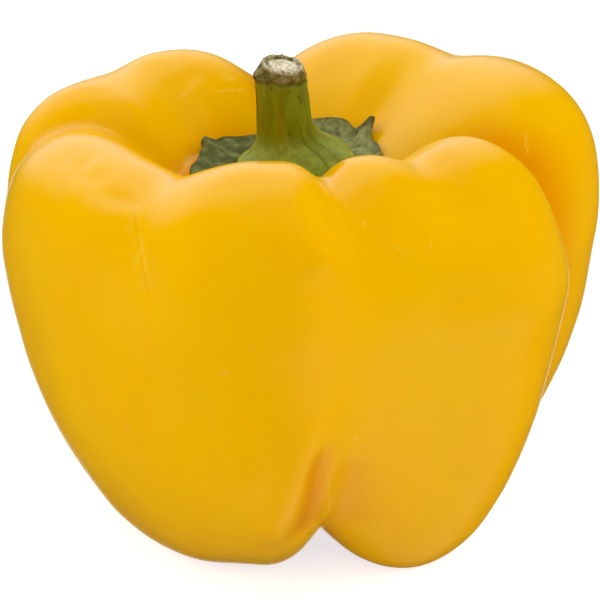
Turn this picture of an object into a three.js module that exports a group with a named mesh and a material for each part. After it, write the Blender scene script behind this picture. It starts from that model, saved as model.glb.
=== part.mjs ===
// Bell pepper: a fruit with four lobes, the leafy cap in its top cup and the cut stalk.
// Millimetres, Z up, standing on its four feet. Angles are in degrees, counted from +X towards +Y (the back).
import * as THREE from 'three';

// Where the plant's own axis stands: the lobes on the right reach further out than those on the left.
const axisX = -4;
const axisY = 0.8;

// Gap left between pieces that touch.
const gap = 0.3;

// Heights on the fruit's axis: the floor of the cup at the top, and the dimple between the feet.
const cupFloor = 56.5;
const dimple = 10;

// Each lobe has two rounded ridges: how far one reaches, how high it crests, how much its shoulder swells.
const ridges = [
  { angle: 29, reach: 56, crest: 71.5, swell: 0.5 },
  { angle: 59.5, reach: 49.5, crest: 72, swell: 0.5 },
  { angle: 124, reach: 46, crest: 70.5, swell: 0 },
  { angle: 151, reach: 48.5, crest: 69, swell: 0 },
  { angle: 212, reach: 41, crest: 67.5, swell: 1 },
  { angle: 271, reach: 48.5, crest: 73, swell: 0 },
  { angle: 299, reach: 42, crest: 71, swell: 0 },
  { angle: 337, reach: 48, crest: 70, swell: -1.5 },
];

// Each lobe ends in a foot at this radius, with a small flat to stand on. The front left one is broad, so it
// has two entries.
const feet = [
  { angle: 38, radius: 30.5 },
  { angle: 143, radius: 25.5 },
  { angle: 236, radius: 18.7 },
  { angle: 264, radius: 15.8 },
  { angle: 323, radius: 30 },
];
const footFlat = 0.4;

// The deep clefts between the lobes, with their depths at the shoulder, on the side and between the feet. A
// narrow one is a sharp crease.
const clefts = [
  { angle: -6, top: 9, side: 4, foot: 8, width: 5, footWidth: 7 },
  { angle: 94, top: 7, side: 3.5, foot: 8, width: 3.5, footWidth: 6 },
  { angle: 166, top: 3.5, side: 2.5, foot: 14, width: 4, footWidth: 8 },
  { angle: 284.5, top: 3, side: 1.2, foot: 9.3, width: 6, footWidth: 1.5 },
];

// The shallow folds between the two ridges of a lobe, which run down from the shoulder and fade.
const folds = [
  { angle: 44, depth: 1.5, run: 2, width: 7 },
  { angle: 136, depth: 0.7, run: 2, width: 9 },
  { angle: 239, depth: 2, run: 2, width: 8 },
  { angle: 316, depth: 1.6, run: 1, width: 9 },
];

// How full the lobes are between their valleys: 1 is a straight slope, more is rounder.
const fullness = 2.6;

// Share of a cleft's or fold's depth at each level, from the middle of the cup down to the dimple.
const topShare = [0, 0, 0.05, 0.4, 0.9, 1, 0.8, 0.4, 0.12, 0, 0, 0, 0, 0, 0];
const sideShare = [0, 0, 0, 0, 0, 0.05, 0.3, 0.7, 1, 1, 0.55, 0.1, 0, 0, 0];
const footShare = [0, 0, 0, 0, 0, 0, 0, 0, 0.02, 0.2, 0.62, 1, 0.8, 0.2, 0];
const lastLevel = topShare.length - 1;
const crestLevel = 4;
const shoulderLevel = 5;

// The leafy cap lies just clear of the cup's floor. Its edge has small teeth, with a long or a short tip.
const capLift = 0.45;
const edgeLift = 0.35;
const capX = 2;
const capY = 1;
const capRadius = 14.8;
const capThickness = 1.1;
const capEdgeThickness = 0.7;
const teeth = [
  { angle: 40, tip: 1 },
  { angle: 93, tip: 0.8 },
  { angle: 146, tip: 0.6 },
  { angle: 195, tip: 0.1 },
  { angle: 247, tip: 0.8 },
  { angle: 299, tip: 0.7 },
  { angle: 351, tip: 0.3 },
];
const toothHalfAngle = 26;
const tipHalfAngle = 7;
const toothSwell = 1;
const tipLength = 2.2;
const tipRise = 1.4;

// The stalk leans to the left and flares at its foot. Each section is a ring at this height.
const stalkSections = [
  { height: 60.9, x: 3.4, y: -0.8, radius: 9.2 },
  { height: 62.1, x: 3.9, y: -0.6, radius: 8 },
  { height: 63.4, x: 3.3, y: -0.3, radius: 6.5 },
  { height: 65, x: 2, y: 0, radius: 4.9 },
  { height: 67.5, x: 1.3, y: 0, radius: 4.35 },
  { height: 70.5, x: 1, y: 0, radius: 4.25 },
  { height: 73.7, x: 0.75, y: 0, radius: 4.15 },
];
const footRadius = 9.4;

// The stalk's dry cut end: a collar that narrows to a rim, round a shallow hollow.
const cutSections = [
  { height: 74.4, radius: 3.95 },
  { height: 75.7, radius: 3.6 },
  { height: 76.4, radius: 3.3 },
  { height: 76.5, radius: 2.95 },
  { height: 76.1, radius: 2.6 },
  { height: 76, radius: 1.4 },
  { height: 76.1, radius: 0 },
];
const cutFallStart = 70;
const cutFallRight = 0.15;
const cutFallFront = 0.13;

// Soft ribs along the stalk.
const stalkRibs = 5;
const ribAngle = 41;
const ribDepth = 0.03;

const radians = (degrees) => THREE.MathUtils.degToRad(degrees);

// The difference from one angle to another, between -180 and 180 degrees.
function turn(from, to) {
  return THREE.MathUtils.euclideanModulo(to - from + 180, 360) - 180;
}

// Rounded curve through evenly spaced values, straight at both ends. It gives the value at a level.
function smoothCurve(values) {
  const last = values.length - 1;
  const bend = new Array(last + 1).fill(0);
  const carry = new Array(last + 1).fill(0);
  for (let i = 1; i < last; i += 1) {
    const corner = 6 * (values[i - 1] - 2 * values[i] + values[i + 1]);
    carry[i] = 1 / (4 - carry[i - 1]);
    bend[i] = (corner - bend[i - 1]) * carry[i];
  }
  for (let i = last - 1; i > 0; i -= 1) {
    bend[i] -= carry[i] * bend[i + 1];
  }
  return (level) => {
    const i = THREE.MathUtils.clamp(Math.floor(level), 0, last - 1);
    const after = level - i;
    const before = 1 - after;
    const straight = before * values[i] + after * values[i + 1];
    return straight + ((before ** 3 - before) * bend[i] + (after ** 3 - after) * bend[i + 1]) / 6;
  };
}

// A table's value at an angle: it runs smoothly from each entry to the next and is level at each.
function around(table, key, angle) {
  const steps = table.map((entry) => THREE.MathUtils.euclideanModulo(angle - entry.angle, 360));
  const from = steps.indexOf(Math.min(...steps));
  const to = (from + 1) % table.length;
  const span = THREE.MathUtils.euclideanModulo(table[to].angle - table[from].angle, 360);
  const share = THREE.MathUtils.smootherstep(steps[from] / span, 0, 1);
  return THREE.MathUtils.lerp(table[from][key], table[to][key], share);
}

// 1 in the bottom of a valley, falling to 0 at the nearest of the given tops on either side. Its bottom is
// rounded over about this width.
function valley(angle, groove, tops, width) {
  const off = turn(groove.angle, angle);
  const side = off > 0 ? 1 : -1;
  const reach = Math.min(...tops.map((top) => THREE.MathUtils.euclideanModulo(side * (top.angle - groove.angle), 360)));
  const slope = (Math.hypot(off, width) - width) / (Math.hypot(reach, width) - width);
  return Math.max(1 - slope, 0) ** fullness;
}

const topCurve = smoothCurve(topShare);
const sideCurve = smoothCurve(sideShare);
const footCurve = smoothCurve(footShare);

// A fold keeps its full depth over the shoulder and fades out over the next levels, longer with more run.
function foldShare(level, run) {
  const opening = level < crestLevel + 1 ? topCurve(level) : 1;
  const fade = THREE.MathUtils.smoothstep(level, shoulderLevel + 0.4 * run, shoulderLevel + 1.6 * run);
  return opening * (1 - fade);
}

// The fruit's outline at an angle, as a function from a level to the radius and height of its skin. Clefts and
// folds sink the skin towards the core of the lobe.
function fruitOutline(angle) {
  const reach = around(ridges, 'reach', angle);
  const crest = around(ridges, 'crest', angle);
  const swell = around(ridges, 'swell', angle);
  const foot = around(feet, 'radius', angle);
  const radius = smoothCurve([
    0, 7.5, 13.5, 0.35 * reach, 0.565 * reach, 0.793 * reach + 0.3 * swell, 0.95 * reach + 0.7 * swell, reach,
    0.98 * reach, 0.91 * reach, 0.335 * reach + 0.5 * foot + 5.5, foot, foot - 9.5, 5, 0,
  ]);
  const height = smoothCurve([
    cupFloor, cupFloor + 0.4, cupFloor + 1.8, crest - 10.5, crest - 2.5, crest - 2.5 + 0.5 * swell,
    crest - 10 + 0.7 * swell, crest - 22, crest - 31, 0.31 * crest, 5 - footFlat, -footFlat, 2.2 - footFlat,
    dimple - 1.2, dimple,
  ]);
  const core = new THREE.Vector2(0.45 * reach, 0.5 * crest);
  const inCleft = clefts.map((cleft) => ({
    cleft,
    near: valley(angle, cleft, ridges, cleft.width),
    wide: valley(angle, cleft, feet, cleft.footWidth),
  }));
  const inFold = folds.map((fold) => ({ fold, near: valley(angle, fold, ridges, fold.width) }));
  return (level) => {
    let depth = 0;
    inCleft.forEach(({ cleft, near, wide }) => {
      depth += (cleft.top * topCurve(level) + cleft.side * sideCurve(level)) * near;
      depth += cleft.foot * footCurve(level) * wide;
    });
    inFold.forEach(({ fold, near }) => {
      depth += fold.depth * foldShare(level, fold.run) * near;
    });
    const skin = new THREE.Vector2(radius(level), height(level));
    const outward = skin.clone().sub(core).normalize();
    skin.addScaledVector(outward, -depth);
    return { radius: Math.max(skin.x, 0), height: Math.max(skin.y, 0) };
  };
}

// Height of the cup's surface under a point of the plant's frame.
function cupHeight(x, y) {
  const outline = fruitOutline(THREE.MathUtils.radToDeg(Math.atan2(y, x)));
  const radius = Math.hypot(x, y);
  let inside = 0;
  let outside = crestLevel;
  for (let halving = 0; halving < 20; halving += 1) {
    const middle = (inside + outside) / 2;
    if (outline(middle).radius < radius) {
      inside = middle;
    } else {
      outside = middle;
    }
  }
  return outline(inside).height;
}

// A closed skin with its rings placed by formula: ring 0 is the middle of the underside, the last is the middle
// of the top, and place gives each point in the plant's frame.
function ringSkin(ringCount, segments, place) {
  const arc = [];
  for (let ring = 0; ring <= ringCount; ring += 1) {
    const tilt = Math.PI * (ring / ringCount - 0.5);
    arc.push(new THREE.Vector2(ring % ringCount === 0 ? 0 : Math.cos(tilt), Math.sin(tilt)));
  }
  const geometry = new THREE.LatheGeometry(arc, segments);
  const position = geometry.attributes.position;
  for (let i = 0; i < position.count; i += 1) {
    const segment = Math.floor(i / arc.length) % segments;
    const point = place(i % arc.length, (segment * 360) / segments);
    position.setXYZ(i, point.x, point.y, point.z);
  }
  geometry.computeVertexNormals();
  return geometry;
}

function polar(centreX, centreY, radius, angle, height) {
  return new THREE.Vector3(
    centreX + radius * Math.cos(radians(angle)),
    centreY + radius * Math.sin(radians(angle)),
    height,
  );
}

function fruitGeometry() {
  const rings = 46;
  const segments = 108;
  const outlines = [];
  for (let segment = 0; segment < segments; segment += 1) {
    outlines.push(fruitOutline((segment * 360) / segments));
  }
  return ringSkin(rings, segments, (ring, angle) => {
    const outline = outlines[Math.round((angle * segments) / 360)];
    const skin = outline(lastLevel * (1 - ring / rings));
    return polar(0, 0, ring % rings === 0 ? 0 : skin.radius, angle, skin.height);
  });
}

// How far the cap's edge stands out at an angle, and how much of that is the thin tip of a tooth.
function capEdge(angle) {
  const offs = teeth.map((tooth) => Math.abs(turn(tooth.angle, angle)));
  const off = Math.min(...offs);
  const nearest = teeth[offs.indexOf(off)];
  const body = toothSwell * Math.cos((Math.PI / 2) * Math.min(off / toothHalfAngle, 1)) ** 2;
  const tip = nearest.tip * Math.max(1 - off / tipHalfAngle, 0) ** 1.5;
  return { radius: capRadius + body + tipLength * tip, tip };
}

// Height of the cap's upper face where it has this thickness.
function capTop(x, y, thickness) {
  return cupHeight(x, y) + capLift + thickness;
}

function capGeometry() {
  const underside = [0, 0.3, 0.6, 0.85, 0.97];
  const topside = [1, 0.96, 0.85, 0.65, 0.35, 0];
  const shares = [...underside, ...topside];
  return ringSkin(shares.length - 1, 126, (ring, angle) => {
    const share = shares[ring];
    const edge = capEdge(angle);
    const point = polar(capX, capY, share * edge.radius, angle, 0);
    const topThickness = THREE.MathUtils.lerp(capThickness, capEdgeThickness, share ** 4);
    const rimRounding = share === 1 ? 0.6 : 1;
    const thickness = ring < underside.length ? 0 : topThickness * rimRounding;
    const curl = edgeLift * share ** 4 + tipRise * edge.tip * THREE.MathUtils.clamp(5 * share - 4, 0, 1);
    point.z = capTop(point.x, point.y, thickness) + curl;
    return point;
  });
}

function stalkGeometry() {
  const underside = [0, 3, 6, 8.6];
  const sectionSteps = 18;
  const [foot] = stalkSections;
  const top = stalkSections.at(-1);
  const bodyX = smoothCurve(stalkSections.map((section) => section.x));
  const bodyY = smoothCurve(stalkSections.map((section) => section.y));
  const bodyHeight = smoothCurve(stalkSections.map((section) => section.height));
  const bodyRadius = smoothCurve(stalkSections.map((section) => section.radius));
  const rings = underside.map((radius) => ({ x: foot.x, y: foot.y, radius, height: 0 }));
  rings.push({ x: foot.x, y: foot.y, radius: footRadius, height: gap });
  for (let step = 0; step <= sectionSteps; step += 1) {
    const level = (step * (stalkSections.length - 1)) / sectionSteps;
    rings.push({ x: bodyX(level), y: bodyY(level), radius: bodyRadius(level), height: bodyHeight(level) });
  }
  const firstCut = rings.length;
  rings.push(...cutSections.map((section) => ({ x: top.x, y: top.y, ...section })));
  return ringSkin(rings.length - 1, 40, (ring, angle) => {
    const { x, y, radius, height } = rings[ring];
    const rib = 1 + ribDepth * Math.cos(radians(stalkRibs * (angle - ribAngle)));
    const point = polar(x, y, ring < firstCut ? radius * rib : radius, angle, height);
    if (ring <= underside.length) {
      point.z += capTop(point.x, point.y, capThickness) + gap;
    } else {
      const cutShare = THREE.MathUtils.smoothstep(height, cutFallStart, top.height);
      point.z -= cutShare * (cutFallRight * (point.x - x) - cutFallFront * (point.y - y));
    }
    return point;
  });
}

const fruitMaterial = new THREE.MeshStandardMaterial({ color: '#f0ae12', roughness: 0.28, metalness: 0 });
const capMaterial = new THREE.MeshStandardMaterial({ color: '#5c6530', roughness: 0.75, metalness: 0 });
const stalkMaterial = new THREE.MeshStandardMaterial({ color: '#74701a', roughness: 0.6, metalness: 0 });

function namedMesh(name, geometry, material) {
  const mesh = new THREE.Mesh(geometry, material);
  mesh.name = name;
  return mesh;
}

const pepper = new THREE.Group();
pepper.add(
  namedMesh('fruit', fruitGeometry(), fruitMaterial),
  namedMesh('calyx', capGeometry(), capMaterial),
  namedMesh('stem', stalkGeometry(), stalkMaterial),
);
pepper.position.set(axisX, axisY, 0);

export default pepper;
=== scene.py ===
# Bell pepper: the fruit, its leafy cap and its cut stalk, in a pale studio.
import math

import bpy
import numpy as np
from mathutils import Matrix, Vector


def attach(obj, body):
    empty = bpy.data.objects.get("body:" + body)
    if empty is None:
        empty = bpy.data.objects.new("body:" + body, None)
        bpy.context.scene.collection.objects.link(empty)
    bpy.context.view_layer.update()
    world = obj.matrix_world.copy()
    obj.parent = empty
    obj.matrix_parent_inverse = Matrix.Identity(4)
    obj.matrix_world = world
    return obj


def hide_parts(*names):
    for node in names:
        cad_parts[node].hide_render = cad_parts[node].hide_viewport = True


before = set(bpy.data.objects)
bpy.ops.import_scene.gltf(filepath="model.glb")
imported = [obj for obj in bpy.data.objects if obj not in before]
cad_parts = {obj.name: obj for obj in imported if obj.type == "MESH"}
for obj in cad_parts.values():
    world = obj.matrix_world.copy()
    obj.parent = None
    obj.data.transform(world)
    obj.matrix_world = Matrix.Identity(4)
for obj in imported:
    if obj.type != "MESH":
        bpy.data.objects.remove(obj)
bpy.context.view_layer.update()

mm = 0.001
print("frame loaded")


# Curves and formulas of the grown forms, in millimetres and degrees round the plant's own axis

plantAxis = {"x": -4.0, "y": 0.8}


def smoothCurve(values, levels):
    # rounded curve through evenly spaced values, straight at both ends, read at the given levels
    values = np.asarray(values, float)
    last = len(values) - 1
    bend = np.zeros_like(values)
    carry = np.zeros(last + 1)
    for i in range(1, last):
        corner = 6 * (values[i - 1] - 2 * values[i] + values[i + 1])
        carry[i] = 1 / (4 - carry[i - 1])
        bend[i] = (corner - bend[i - 1]) * carry[i]
    for i in range(last - 1, 0, -1):
        bend[i] -= carry[i] * bend[i + 1]
    at = np.clip(np.floor(levels).astype(int), 0, last - 1)
    shape = (-1,) + (1,) * (values.ndim - 1)
    after = (levels - at).reshape(shape)
    before = 1 - after
    straight = before * values[at] + after * values[at + 1]
    return straight + ((before ** 3 - before) * bend[at] + (after ** 3 - after) * bend[at + 1]) / 6


def smoothStep(value, low, high):
    share = np.clip((value - low) / (high - low), 0, 1)
    return share * share * (3 - 2 * share)


def around(table, key, angles):
    # a table's value at each angle, level at every entry of the table
    ends = np.array([entry["angle"] for entry in table], float)
    marks = np.array([entry[key] for entry in table], float)
    steps = (angles[:, None] - ends[None, :]) % 360
    start = steps.argmin(axis=1)
    stop = (start + 1) % len(table)
    span = (ends[stop] - ends[start]) % 360
    share = steps[np.arange(len(angles)), start] / span
    share = share ** 3 * (10 - 15 * share + 6 * share ** 2)
    return marks[start] * (1 - share) + marks[stop] * share


def turn(start, stop):
    return (stop - start + 180) % 360 - 180


def ripples(points, seed, wavelength, waves=14):
    # soft seeded unevenness of about -1 to 1, over points in millimetres
    draw = np.random.default_rng(seed)
    total = np.zeros(points.shape[:-1])
    for _ in range(waves):
        way = draw.normal(size=3)
        way /= np.linalg.norm(way)
        length = wavelength * draw.uniform(0.75, 1.35)
        total += np.sin(points @ way * (2 * math.pi / length) + draw.uniform(0, 2 * math.pi))
    return total / math.sqrt(waves / 2) / 1.6


def uneven(points, kind):
    # ripples with the seed, wavelength and depth that an entry gives
    return kind["depth"] * ripples(points, kind["seed"], kind["wavelength"])


def polar(centreX, centreY, radius, angles, height):
    turned = np.radians(angles)
    return np.stack([centreX + radius * np.cos(turned), centreY + radius * np.sin(turned),
                     np.broadcast_to(height, np.shape(radius * turned))], axis=-1)


def skinNormals(points):
    # outward directions of a grid of rings, from the underside's middle to the top's middle
    along = np.gradient(points, axis=0)
    across = np.roll(points, -1, axis=1) - np.roll(points, 1, axis=1)
    outward = np.cross(across, along)
    return outward / np.maximum(np.linalg.norm(outward, axis=-1, keepdims=True), 1e-9)


def ringPiece(name, points, masks, node, material):
    # points[ring, segment] in millimetres; the first and last rings each close on one point
    rings, segments = points.shape[:2]
    inner = points[1:-1].reshape(-1, 3)
    verts = np.concatenate([points[0, :1], inner, points[-1, :1]]) * mm
    verts += np.array([plantAxis["x"], plantAxis["y"], 0]) * mm
    low = np.arange(segments) + 1
    following = np.roll(low, -1)
    top = len(verts) - 1
    faces = [(0, int(b), int(a)) for a, b in zip(low, following)]
    for ring in range(rings - 3):
        lift = ring * segments
        faces += [(int(a + lift), int(b + lift), int(b + lift + segments), int(a + lift + segments))
                  for a, b in zip(low, following)]
    lift = (rings - 3) * segments
    faces += [(int(a + lift), int(b + lift), top) for a, b in zip(low, following)]
    mesh = bpy.data.meshes.new(name)
    mesh.from_pydata(verts.tolist(), [], faces)
    mesh.polygons.foreach_set("use_smooth", [True] * len(mesh.polygons))
    for label, mask in masks.items():
        values = np.concatenate([mask[0, :1], mask[1:-1].ravel(), mask[-1, :1]])
        mesh.attributes.new(label, "FLOAT", "POINT").data.foreach_set("value", values.astype(np.float32))
    mesh.materials.append(material)
    mesh.update()
    piece = bpy.data.objects.new(name, mesh)
    bpy.context.collection.objects.link(piece)
    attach(piece, "root")
    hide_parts(node)
    print(name, "made,", len(mesh.polygons), "faces")
    return piece


# Shader nodes, and the node groups that the materials share


def addNode(tree, kind, values=None, **settings):
    # each value is a constant or the output of another node
    node = tree.nodes.new(kind)
    for key, value in settings.items():
        setattr(node, key, value)
    for socket, value in (values or {}).items():
        if isinstance(value, bpy.types.NodeSocket):
            tree.links.new(value, node.inputs[socket])
        else:
            node.inputs[socket].default_value = value
    return node


def work(tree, operation, first, second=0.5, clamp=False):
    values = {0: first, 1: second}
    return addNode(tree, "ShaderNodeMath", values, operation=operation, use_clamp=clamp).outputs[0]


def times(tree, first, *others):
    for other in others:
        first = work(tree, "MULTIPLY", first, other)
    return first


def ramp(tree, value, start, stop, first=0.0, last=1.0, curve="SMOOTHSTEP"):
    # goes from the first value to the last while the input goes from start to stop
    values = {"Value": value, "From Min": start, "From Max": stop, "To Min": first, "To Max": last}
    return addNode(tree, "ShaderNodeMapRange", values, interpolation_type=curve).outputs["Result"]


def blend(tree, mask, first, second, kind="RGBA"):
    values = {"Factor": mask, "A": first, "B": second}
    return addNode(tree, "ShaderNodeMix", values, data_type=kind).outputs["Result"]


def stretched(tree, stretch):
    place = addNode(tree, "ShaderNodeTexCoord").outputs["Object"]
    return addNode(tree, "ShaderNodeVectorMath", {0: place, 1: stretch}, operation="MULTIPLY").outputs[0]


def newGroup(name, inputs, outputs):
    # an input is a number, a vector or a colour, by how many values it has
    group = bpy.data.node_groups.new(name, "ShaderNodeTree")
    kinds = {1: "NodeSocketFloat", 3: "NodeSocketVector", 4: "NodeSocketColor"}
    for label, value in inputs.items():
        socket = group.interface.new_socket(label, in_out="INPUT", socket_type=kinds[np.size(value)])
        socket.default_value = value
    for label, size in outputs.items():
        group.interface.new_socket(label, in_out="OUTPUT", socket_type=kinds[size])
    return group, group.nodes.new("NodeGroupInput").outputs, group.nodes.new("NodeGroupOutput").inputs


def mottleGroup():
    # two tones that run softly into each other in patches
    group, start, stop = newGroup("Mottle", {
        "Tone": (1, 1, 1, 1), "Other tone": (0, 0, 0, 1), "Patches per metre": 60.0, "Stretch": (1, 1, 1),
        "Edge": 0.25, "Amount": 1.0}, {"Color": 4, "Patches": 1})
    noise = addNode(group, "ShaderNodeTexNoise", {
        "Vector": stretched(group, start["Stretch"]), "Scale": start["Patches per metre"],
        "Detail": 5.0, "Roughness": 0.55})
    low = work(group, "SUBTRACT", 0.5, start["Edge"])
    high = work(group, "ADD", 0.5, start["Edge"])
    patch = ramp(group, noise.outputs["Fac"], low, high)
    tones = blend(group, times(group, patch, start["Amount"]), start["Tone"], start["Other tone"])
    group.links.new(tones, stop["Color"])
    group.links.new(patch, stop["Patches"])
    return group


def speckGroup():
    # small scattered specks of uneven size: 1 on a speck
    group, start, stop = newGroup("Specks", {"Specks per metre": 500.0, "Size": 0.2, "Share": 0.3}, {"Specks": 1})
    place = addNode(group, "ShaderNodeTexCoord").outputs["Object"]
    cells = addNode(group, "ShaderNodeTexVoronoi", {
        "Vector": place, "Scale": start["Specks per metre"], "Randomness": 1.0}).outputs
    draw = addNode(group, "ShaderNodeSeparateColor", {"Color": cells["Color"]}).outputs
    size = times(group, work(group, "ADD", draw["Green"], 0.35), start["Size"])
    inside = ramp(group, cells["Distance"], 0.0, size, 1.0, 0.0)
    few = work(group, "LESS_THAN", draw["Red"], start["Share"])
    group.links.new(times(group, inside, few), stop["Specks"])
    return group


def grainGroup():
    # the height of a fine living surface: a coarse and a fine unevenness, with a stretch for fibres
    group, start, stop = newGroup("Plant grain", {
        "Coarse per metre": 300.0, "Fine per metre": 1500.0, "Stretch": (1, 1, 1), "Fine share": 0.3},
        {"Height": 1})
    place = stretched(group, start["Stretch"])
    coarse = addNode(group, "ShaderNodeTexNoise", {
        "Vector": place, "Scale": start["Coarse per metre"], "Detail": 3.0}).outputs["Fac"]
    fine = addNode(group, "ShaderNodeTexNoise", {
        "Vector": place, "Scale": start["Fine per metre"], "Detail": 2.0}).outputs["Fac"]
    group.links.new(blend(group, start["Fine share"], coarse, fine, "FLOAT"), stop["Height"])
    return group


def lineGroup():
    # a thin line from a signed distance, 1 along its middle, with its ends faded by a second mask
    group, start, stop = newGroup("Fine line", {"Distance": 1.0, "Keep": 1.0, "Core": 0.2}, {"Line": 1})
    inside = ramp(group, work(group, "ABSOLUTE", start["Distance"]), start["Core"], 1.0, 1.0, 0.0)
    group.links.new(times(group, inside, start["Keep"]), stop["Line"])
    return group


mottle = mottleGroup()
specks = speckGroup()
grain = grainGroup()
fineLine = lineGroup()
print("shader groups made")


def placeGroup(tree, group, values):
    return addNode(tree, "ShaderNodeGroup", values, node_tree=group).outputs


def twoTones(tree, tone, other, perMetre, edge, amount=1.0, stretch=(1, 1, 1)):
    return placeGroup(tree, mottle, {"Tone": tone, "Other tone": other, "Patches per metre": perMetre,
                                     "Edge": edge, "Amount": amount, "Stretch": stretch})


def patches(tree, perMetre, edge, stretch=(1, 1, 1)):
    return placeGroup(tree, mottle, {"Patches per metre": perMetre, "Edge": edge, "Stretch": stretch})["Patches"]


def speckled(tree, perMetre, size, share):
    return placeGroup(tree, specks, {"Specks per metre": perMetre, "Size": size, "Share": share})["Specks"]


def maskOf(tree, label):
    return addNode(tree, "ShaderNodeAttribute", attribute_name=label).outputs["Fac"]


def lineOf(tree, label, core=0.2):
    return placeGroup(tree, fineLine, {
        "Core": core, "Distance": maskOf(tree, label + "Off"), "Keep": maskOf(tree, label + "Keep")})["Line"]


def tint(tree, colour, look, layers):
    # lays named colours over a colour, each where its mask is 1; a mask is an output or the name of a mesh's mask
    for mask, name, strength in layers:
        if isinstance(mask, str):
            mask = maskOf(tree, mask)
        colour = blend(tree, work(tree, "MULTIPLY", mask, strength, clamp=True), colour, look[name])
    return colour


def newMaterial(name, values):
    material = bpy.data.materials.new(name)
    material.use_nodes = True
    shader = material.node_tree.nodes["Principled BSDF"]
    for socket, value in values.items():
        shader.inputs[socket].default_value = value
    return material, material.node_tree, shader


def finishSurface(tree, shader, colour, wear, roughness, height, strength, depth):
    # colour, a roughness that varies with the wear, and the fine relief
    bump = addNode(tree, "ShaderNodeBump", {"Height": height, "Strength": strength, "Distance": depth})
    tree.links.new(colour, shader.inputs["Base Color"])
    tree.links.new(ramp(tree, wear, 0.0, 1.0, *roughness, curve="LINEAR"), shader.inputs["Roughness"])
    tree.links.new(bump.outputs["Normal"], shader.inputs["Normal"])


# Fruit: the same form as the solid, with a finer skin, small dents and the scar of a seam

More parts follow.
